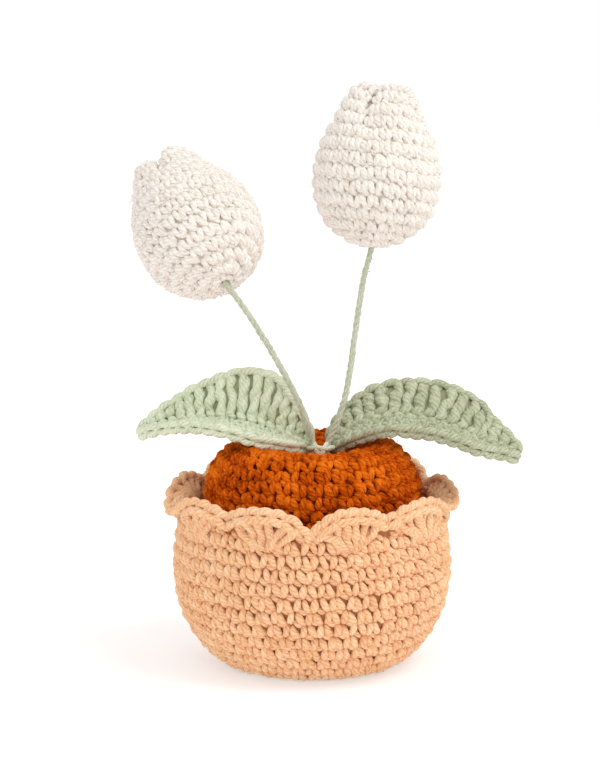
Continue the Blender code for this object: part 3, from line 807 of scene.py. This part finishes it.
def near_half(yarn, at, posts):
    """Three rows of flat stitches that lean left and right in turn, on both faces."""
    steps = np.linspace(-0.5, 0.5, 7)
    for row, row_share in enumerate((0.18, 0.42, 0.66)):
        spot = (np.arange(2 * posts) + 0.5 * (row % 2) + 0.3) / (2 * posts)
        slant = np.where(np.arange(2 * posts) % 2, 1.0, -1.0)[:, None]
        x = np.clip(spot[:, None] + steps * 0.5 / posts, 0, 1)
        w = row_share + 0.2 * slant * steps + rng.normal(size=(len(spot), 1)) * 0.012
        for face in (-1, 1):
            paths = at(-1, x, w, face * (0.75 - 2.4 * steps**2))
            size = 0.95 * (1 - 1.0 * steps**2) * rng.uniform(0.9, 1.08, (len(spot), 1))
            yarn.add(paths, size, ply=0.13)
            yarn.fuzz(paths, radius=0.9, share=0.4, length=0.8)


def far_half(yarn, at, posts, pitch, length):
    """Long ribs, each a lumpy twisted pair of strands, with two rows of round feet along the fold."""
    start = (np.arange(posts) + 0.55) / (posts + 0.35)
    steps = np.linspace(0, 1, 14)
    x = np.clip(start[:, None] + 0.012 * steps, 0, 0.985)
    w = 0.04 + 0.84 * steps[None]
    lumps = 1 + 0.16 * np.sin(TAU * (2.6 * steps[None] + rng.uniform(0, 1, (posts, 1))))
    ends = np.interp(start, (0, 0.2, 0.85, 1), (0.75, 1, 1, 0.7))[:, None]
    for strand in (0, 1):
        twist = TAU * (1.3 * steps[None] + rng.uniform(0, 0.5, (posts, 1))) + math.pi * strand
        n = 0.45 * np.sin(twist) + 0.5 * np.sin(math.pi * steps)
        paths = at(1, x + 0.17 * pitch * np.cos(twist) / length, w, n)
        yarn.add(paths, 0.43 * pitch * ends * lumps, ply=0.13)
        yarn.fuzz(paths, radius=0.9, share=1.2, length=0.8)
    steps = np.linspace(-0.5, 0.5, 7)
    for row, (row_share, proud) in enumerate(((0.12, 1.5), (-0.02, 1.35))):
        spot = (np.arange(posts) + 0.55 + 0.5 * row) / (posts + 0.5)
        x = np.clip(spot[:, None] + steps * 0.75 / posts, 0, 1)
        w = row_share + 0.1 * steps * (1 - 2 * row) + rng.normal(size=(posts, 1)) * 0.012
        size = 0.4 * pitch * (1 - 1.2 * steps**2) * rng.uniform(0.9, 1.12, (posts, 1))
        yarn.add(at(1, x, w, proud - 2.6 * steps**2), size, ply=0.13)


def leaf_edge(yarn, at, which, length):
    """The chain along the edge of a half."""
    loop_length = 3.3
    loops = int(length / loop_length)

    def edge(x):
        share = np.clip(x / loops, 0, 1)
        point = at(which, share, LEAF_EDGE_SHARE, 0.0)
        after, before = (at(which, share + step, LEAF_EDGE_SHARE, 0.0) for step in (0.01, -0.01))
        along = unit(after - before)
        out = unit(at(which, share, 1.0, 0.0) - at(which, share, 0.8, 0.0))
        return point, unit(np.cross(along, out)), out

    chain(yarn, edge, loops, width=1.0, radius=0.95)


def build_leaf(side, look, pitch, fold, back, near_angle, far_angle, widths, ties=()):
    """A leaf with ribs the pitch apart, and the loops that tie it down."""
    at, middle, length = leaf_surface(fold, back, near_angle, far_angle, widths)
    posts = int(round(length / pitch))
    yarn = Yarn()
    near_half(yarn, at, posts)
    leaf_edge(yarn, at, -1, length)
    far_half(yarn, at, posts, pitch, length)
    leaf_edge(yarn, at, 1, length)
    tie_r = 0.72
    for tie in ties:
        yarn.add(evenly(tie, 14)[None], tie_r)
    yarn.mesh(f"leaf_{side}_stitches", look, "sage_yarn", f"leaf_{side}")

    thick = 0.45
    shares = (-LEAF_EDGE_SHARE, -0.6, -0.3, 0.0, 0.3, 0.6, LEAF_EDGE_SHARE)
    rings = [middle[:1]]
    for x in np.linspace(0, 1, LEAF_STEPS)[1:-1:2]:
        face = [at(-1 if w < 0 else 1, x, abs(w), thick) for w in shares]
        under = [at(-1 if w < 0 else 1, x, abs(w), -thick) for w in shares]
        rings.append(np.array(face + under[::-1]))
    rings.append(middle[-1:])
    # this body's darker colour is painted shade between the leaf's stitches
    ring_mesh(f"leaf_{side}_backing", rings, SAGE_SHADE_BACKING, "sage_yarn", f"leaf_{side}")


# Stems


def build_stem(side, points):
    """Three strands wound round a wire."""
    count, strands, winding_pitch, winding_r, strand_r = 420, 3, 6.5, 0.42, 0.58
    path = evenly(points, count)
    way = unit(np.gradient(path, axis=0))
    first = unit(np.cross(way, [0, 1.0, 0]))
    second = np.cross(way, first)
    turns = path_length(path) / winding_pitch * np.linspace(0, 1, count)
    taper = np.linspace(0.98, 0.8, count)[:, None]
    yarn = Yarn()
    for strand in range(strands):
        turn = TAU * (turns + strand / strands)[:, None]
        wound = path + winding_r * taper * (np.cos(turn) * first + np.sin(turn) * second)
        yarn.add(wound[None], strand_r * taper[:, 0][None], sides=6)
    yarn.fuzz(path[None], radius=1.0, share=90, length=0.8)
    yarn.mesh(f"stem_{side}_yarn", PALE_SAGE, "sage_yarn", f"stem_{side}")


# Stage, light and camera

FLOOR_R = 30  # metres
LAMPS = (("key", (0.6, -0.3, 1.1), 0.6, 4.6), ("fill", (0.1, -1.3, 0.5), 1.0, 1.3))  # metres and watts
LAMP_AIM = (0, 0, 0.06)


def build_floor():
    mesh = bpy.data.meshes.new("floor")
    sides = 64
    turns = [TAU * i / sides for i in range(sides)]
    ring = [(FLOOR_R * math.cos(turn), FLOOR_R * math.sin(turn), 0) for turn in turns]
    mesh.from_pydata(ring, [], [tuple(range(sides))])
    floor = bpy.data.objects.new("floor", mesh)
    bpy.context.scene.collection.objects.link(floor)
    pale = bpy.data.materials.new("pale_floor")
    pale.use_nodes = True
    shader = pale.node_tree.nodes["Principled BSDF"]
    shader.inputs["Base Color"].default_value = (0.80, 0.68, 0.64, 1)
    shader.inputs["Emission Color"].default_value = (0.69, 0.925, 1.0, 1)
    shader.inputs["Emission Strength"].default_value = 0.45
    shader.inputs["Roughness"].default_value = 0.9
    shader.inputs["Specular IOR Level"].default_value = 0.1
    mesh.materials.append(pale)


def build_light():
    world = bpy.data.worlds.new("studio")
    world.use_nodes = True
    world.node_tree.nodes["Background"].inputs["Color"].default_value = (1.0, 1.0, 1.0, 1)
    world.node_tree.nodes["Background"].inputs["Strength"].default_value = 0.87
    bpy.context.scene.world = world
    for name, place, size, power in LAMPS:
        lamp = bpy.data.lights.new(name, "AREA")
        lamp.shape = "DISK"
        lamp.size = size
        lamp.energy = power
        light = bpy.data.objects.new(name, lamp)
        light.location = place
        light.rotation_euler = (Vector(LAMP_AIM) - Vector(place)).to_track_quat("-Z", "Y").to_euler()
        bpy.context.scene.collection.objects.link(light)


def build_camera():
    lens = bpy.data.cameras.new("camera")
    lens.sensor_fit = "VERTICAL"
    lens.sensor_height = 24.0
    lens.lens = FOCAL_PX / FRAME_H * lens.sensor_height
    lens.clip_start, lens.clip_end = 0.01, 100.0
    camera = bpy.data.objects.new("camera", lens)
    forward = Vector((0, math.cos(CAMERA_PITCH), -math.sin(CAMERA_PITCH)))
    camera.location = (Vector(CAMERA_TARGET) - CAMERA_DISTANCE * forward) * MM
    camera.rotation_euler = (math.pi / 2 - CAMERA_PITCH, 0, 0)
    bpy.context.scene.collection.objects.link(camera)
    bpy.context.scene.camera = camera
    bpy.context.scene.view_settings.view_transform = "Standard"


# The plant

STEM_IN_HEAD = 6  # length of stem inside a head
LEFT_POLE, LEFT_AXIS = np.array([-23.2, -7.0, 105.2]), np.array([-0.42, 0.59, 0.69])
RIGHT_POLE, RIGHT_AXIS = np.array([16.0, 0.0, 114.2]), np.array([0.07, 0.10, 0.99])

build_pot()
build_soil()
build_bloom("left", LEFT_POLE, LEFT_AXIS, math.radians(45))
build_bloom("right", RIGHT_POLE, RIGHT_AXIS, math.radians(20))
build_stem("left", [
    (0.7, -1.2, 40.0), (0.7, -1.2, 52.0), (0.3, -1.8, 60.5), (-3.2, -4.0, 71.5), (-8.3, -6.4, 82.0),
    (-13.6, -8.6, 91.5), (-18.2, -9.2, 98.8), tuple(LEFT_POLE), tuple(LEFT_POLE + STEM_IN_HEAD * LEFT_AXIS),
])
build_stem("right", [
    (4.0, -1.2, 40.0), (4.0, -1.2, 52.0), (4.2, -1.6, 60.0), (7.6, -1.8, 69.0), (9.8, -1.6, 78.0),
    (12.0, -1.2, 94.0), (13.9, -0.7, 106.0), tuple(RIGHT_POLE), tuple(RIGHT_POLE + STEM_IN_HEAD * RIGHT_AXIS),
])
build_leaf(
    "left", SAGE_LIGHT, 2.7,
    fold=[
        (-0.4, 2.8, 59.4), (-4.6, 2.8, 61.6), (-10.1, 3.0, 64.0), (-19.6, 4.0, 66.8), (-29.2, 6.0, 67.0),
        (-37.5, 8.0, 65.4), (-44.5, 9.4, 62.9), (-47.4, 10.2, 61.2),
    ],
    back=(0.2, 1.0, 0.0), near_angle=(7.0, -4.0), far_angle=(100.0, 52.0),
    widths=(0.15, 0.72, 1.14, 1.12, 0.88, 0.64, 0.38, 0.08),
    ties=(
        [(0.2, 1.0, 60.0), (0.6, -2.4, 60.6), (1.6, -3.9, 58.6), (2.4, -2.8, 56.6)],
        [(4.6, 1.0, 60.2), (3.9, -2.3, 60.6), (2.9, -3.9, 58.9), (2.2, -2.9, 56.8)],
        [(-1.2, -1.6, 59.4), (1.2, -3.6, 59.9), (3.6, -3.6, 59.6), (5.8, -1.4, 59.6)],
    ),
)
build_leaf(
    "right", SAGE, 3.1,
    fold=[
        (5.4, 2.8, 59.2), (7.8, 2.6, 61.8), (11.9, 2.4, 65.2), (17.0, 2.1, 67.7), (22.1, 1.8, 68.9),
        (31.6, 1.3, 68.0), (39.2, 0.9, 65.1), (44.9, 0.6, 61.8), (52.6, 0.2, 58.6), (56.0, 0.0, 56.6),
    ],
    back=(0.0, 1.0, 0.0), near_angle=(23.0, -1.0), far_angle=(50.0, 56.0),
    widths=(0.15, 0.5, 0.72, 0.86, 0.91, 0.84, 0.56, 0.16),
)

INNER_LOOKS = {"pot_filling": STUFFING, "bloom_filling_left": STUFFING, "bloom_filling_right": STUFFING,
               "wire_left": STEEL, "wire_right": STEEL}
for name, look in INNER_LOOKS.items():
    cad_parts[name].data.materials.clear()
    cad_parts[name].data.materials.append(look)

build_floor()
build_light()
build_camera()
